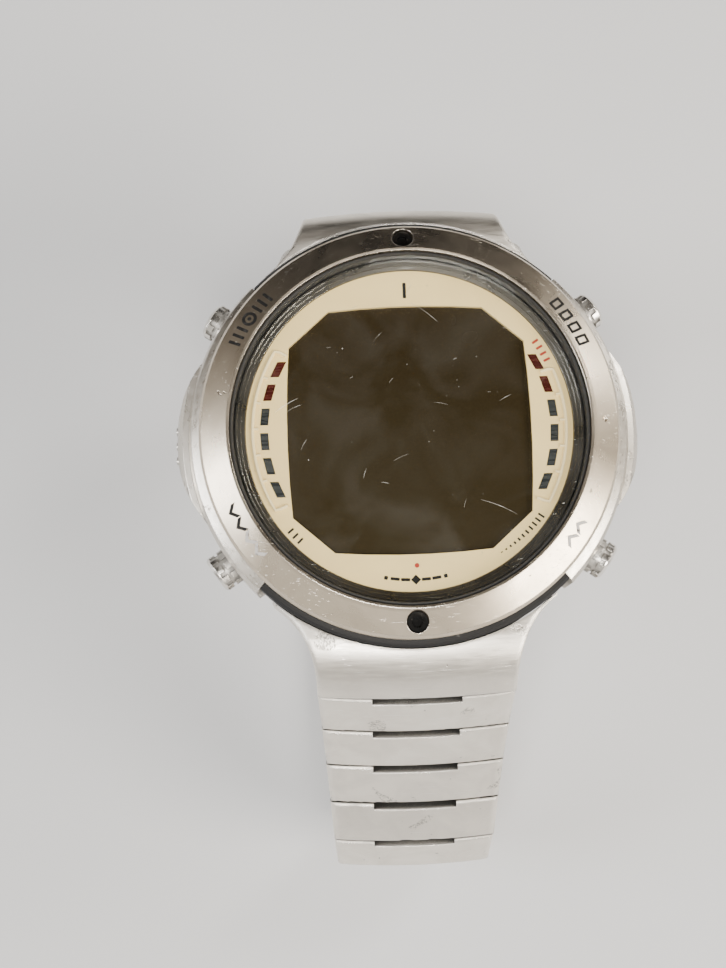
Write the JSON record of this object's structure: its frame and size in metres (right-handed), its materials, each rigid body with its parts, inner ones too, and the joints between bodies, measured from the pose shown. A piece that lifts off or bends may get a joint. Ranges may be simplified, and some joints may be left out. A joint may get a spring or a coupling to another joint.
{
  "type": "dive computer",
  "caption": "Wrist dive computer: round satin steel head with a cut-corner display, side pushers, and a link bracelet closed by a folding clasp.",
  "frame": {"origin": "centre of the case back's outer face, where the head rests on the wrist", "axes": "+Z out of the display, +Y towards 12 o'clock, +X towards 3 o'clock; the closed bracelet hangs towards -Z"},
  "size_m": [0.0524, 0.0782, 0.0558],
  "materials": {
    "satin_steel": "satin",
    "polished_steel": "polished",
    "pin_steel": "ground",
    "dark_screws": "oxidised",
    "blade_steel": "satin",
    "back_steel": "circular brushed",
    "black_composite": "matte",
    "crystal": "clear",
    "gasket": "matte",
    "flange": "gloss",
    "dial": "eggshell",
    "bars": "gloss",
    "lcd": "gloss",
    "module": "matte",
    "board": "solder mask",
    "cell": "nickel plated"
  },
  "bodies": {
    "head": {"bezel": "satin_steel", "bezel_screws": "dark_screws", "mid_case": "satin_steel", "body_inserts": "black_composite", "flank_guards": "satin_steel", "contact_pins": "polished_steel", "crystal": "crystal", "crystal_gasket": "gasket", "flange_ring": "flange", "dial_plate": "dial", "indicator_bars": "bars", "lcd_panel": "lcd", "module_holder": "module", "circuit_board": "board", "battery": "cell", "pressure_sensor": "cell", "back_cover": "back_steel", "back_gasket": "gasket", "back_screws": "dark_screws", "button_springs": "pin_steel", "end_link_lower": "satin_steel", "end_link_upper": "satin_steel", "root_pins": "pin_steel"},
    "button_ur": {"button_ur": "polished_steel"},
    "button_ul": {"button_ul": "polished_steel"},
    "button_ll": {"button_ll": "polished_steel"},
    "button_lr": {"button_lr": "polished_steel"},
    "lower_link_1": {"lower_link_1": "satin_steel", "lower_pin_1": "pin_steel"},
    "lower_link_2": {"lower_link_2": "satin_steel", "lower_pin_2": "pin_steel"},
    "lower_link_3": {"lower_link_3": "satin_steel", "lower_pin_3": "pin_steel"},
    "lower_link_4": {"lower_link_4": "satin_steel", "lower_pin_4": "pin_steel"},
    "lower_link_5": {"lower_link_5": "satin_steel", "lower_pin_5": "pin_steel"},
    "lower_link_6": {"lower_link_6": "satin_steel", "lower_pin_6": "pin_steel"},
    "lower_link_7": {"lower_link_7": "satin_steel", "spring_bar": "pin_steel"},
    "upper_link_1": {"upper_link_1": "satin_steel", "upper_pin_1": "pin_steel"},
    "upper_link_2": {"upper_link_2": "satin_steel", "upper_pin_2": "pin_steel"},
    "upper_link_3": {"upper_link_3": "satin_steel", "upper_pin_3": "pin_steel"},
    "upper_link_4": {"upper_link_4": "satin_steel", "upper_pin_4": "pin_steel"},
    "upper_link_5": {"upper_link_5": "satin_steel", "upper_pin_5": "pin_steel"},
    "upper_link_6": {"upper_link_6": "satin_steel", "upper_pin_6": "pin_steel"},
    "inner_blade": {"inner_blade": "blade_steel", "blade_pin": "pin_steel"},
    "outer_blade": {"outer_blade": "blade_steel"},
    "clasp_cover": {"clasp_cover": "satin_steel", "cover_pin": "pin_steel"}
  },
  "joints": [
    {"name": "button_ur_press", "type": "slide", "parent": "head", "child": "button_ur", "axis": [-0.829, -0.5592, 0], "range_m": [0, 0.0007], "stiffness_N_per_m": 400, "springref_m": -0.0015, "deforming": ["button_springs"]},
    {"name": "button_ul_press", "type": "slide", "parent": "head", "child": "button_ul", "axis": [0.829, -0.5592, 0], "range_m": [0, 0.0007], "stiffness_N_per_m": 400, "springref_m": -0.0015, "deforming": ["button_springs"]},
    {"name": "button_ll_press", "type": "slide", "parent": "head", "child": "button_ll", "axis": [0.829, 0.5592, 0], "range_m": [0, 0.0007], "stiffness_N_per_m": 400, "springref_m": -0.0015, "deforming": ["button_springs"]},
    {"name": "button_lr_press", "type": "slide", "parent": "head", "child": "button_lr", "axis": [-0.829, 0.5592, 0], "range_m": [0, 0.0007], "stiffness_N_per_m": 400, "springref_m": -0.0015, "deforming": ["button_springs"]},
    {"name": "lower_hinge_1", "type": "hinge", "parent": "head", "child": "lower_link_1", "pos_m": [0, -0.02723, 0.0066], "axis": [1, 0, 0], "range_deg": [-20, 0]},
    {"name": "lower_hinge_2", "type": "hinge", "parent": "lower_link_1", "child": "lower_link_2", "pos_m": [0, -0.03082, 0.00013], "axis": [1, 0, 0], "range_deg": [-5, 0]},
    {"name": "lower_hinge_3", "type": "hinge", "parent": "lower_link_2", "child": "lower_link_3", "pos_m": [0, -0.03485, -0.00608], "axis": [1, 0, 0], "range_deg": [-4, 0]},
    {"name": "lower_hinge_4", "type": "hinge", "parent": "lower_link_3", "child": "lower_link_4", "pos_m": [0, -0.0394, -0.01191], "axis": [1, 0, 0], "range_deg": [-5, 0]},
    {"name": "lower_hinge_5", "type": "hinge", "parent": "lower_link_4", "child": "lower_link_5", "pos_m": [0, -0.04436, -0.01741], "axis": [1, 0, 0], "range_deg": [-23, 0]},
    {"name": "lower_hinge_6", "type": "hinge", "parent": "lower_link_5", "child": "lower_link_6", "pos_m": [0, -0.04783, -0.02394], "axis": [1, 0, 0], "range_deg": [-39, 0]},
    {"name": "lower_hinge_7", "type": "hinge", "parent": "lower_link_6", "child": "lower_link_7", "pos_m": [0, -0.04757, -0.03134], "axis": [1, 0, 0], "range_deg": [-42, 0]},
    {"name": "upper_hinge_1", "type": "hinge", "parent": "head", "child": "upper_link_1", "pos_m": [0, 0.0256, 0.0052], "axis": [1, 0, 0], "range_deg": [0, 18]},
    {"name": "upper_hinge_2", "type": "hinge", "parent": "upper_link_1", "child": "upper_link_2", "pos_m": [0, 0.02637, -0.00216], "axis": [1, 0, 0], "range_deg": [0, 21]},
    {"name": "upper_hinge_3", "type": "hinge", "parent": "upper_link_2", "child": "upper_link_3", "pos_m": [0, 0.0256, -0.00952], "axis": [1, 0, 0], "range_deg": [0, 17]},
    {"name": "upper_hinge_4", "type": "hinge", "parent": "upper_link_3", "child": "upper_link_4", "pos_m": [0, 0.02381, -0.0167], "axis": [1, 0, 0], "range_deg": [0, 17]},
    {"name": "upper_hinge_5", "type": "hinge", "parent": "upper_link_4", "child": "upper_link_5", "pos_m": [0, 0.02104, -0.02356], "axis": [1, 0, 0], "range_deg": [0, 19]},
    {"name": "upper_hinge_6", "type": "hinge", "parent": "upper_link_5", "child": "upper_link_6", "pos_m": [0, 0.01712, -0.02984], "axis": [1, 0, 0], "range_deg": [0, 21]},
    {"name": "inner_blade_hinge", "type": "hinge", "parent": "upper_link_6", "child": "inner_blade", "pos_m": [0, 0.01198, -0.03516], "axis": [1, 0, 0], "range_deg": [0, 55]},
    {"name": "outer_blade_hinge", "type": "hinge", "parent": "inner_blade", "child": "outer_blade", "pos_m": [0, -0.03878, -0.0374], "axis": [1, 0, 0], "range_deg": [-120, 0]},
    {"name": "cover_hinge", "type": "hinge", "parent": "outer_blade", "child": "clasp_cover", "pos_m": [0, 0.008, -0.038], "axis": [1, 0, 0], "range_deg": [0, 110]}
  ]
}
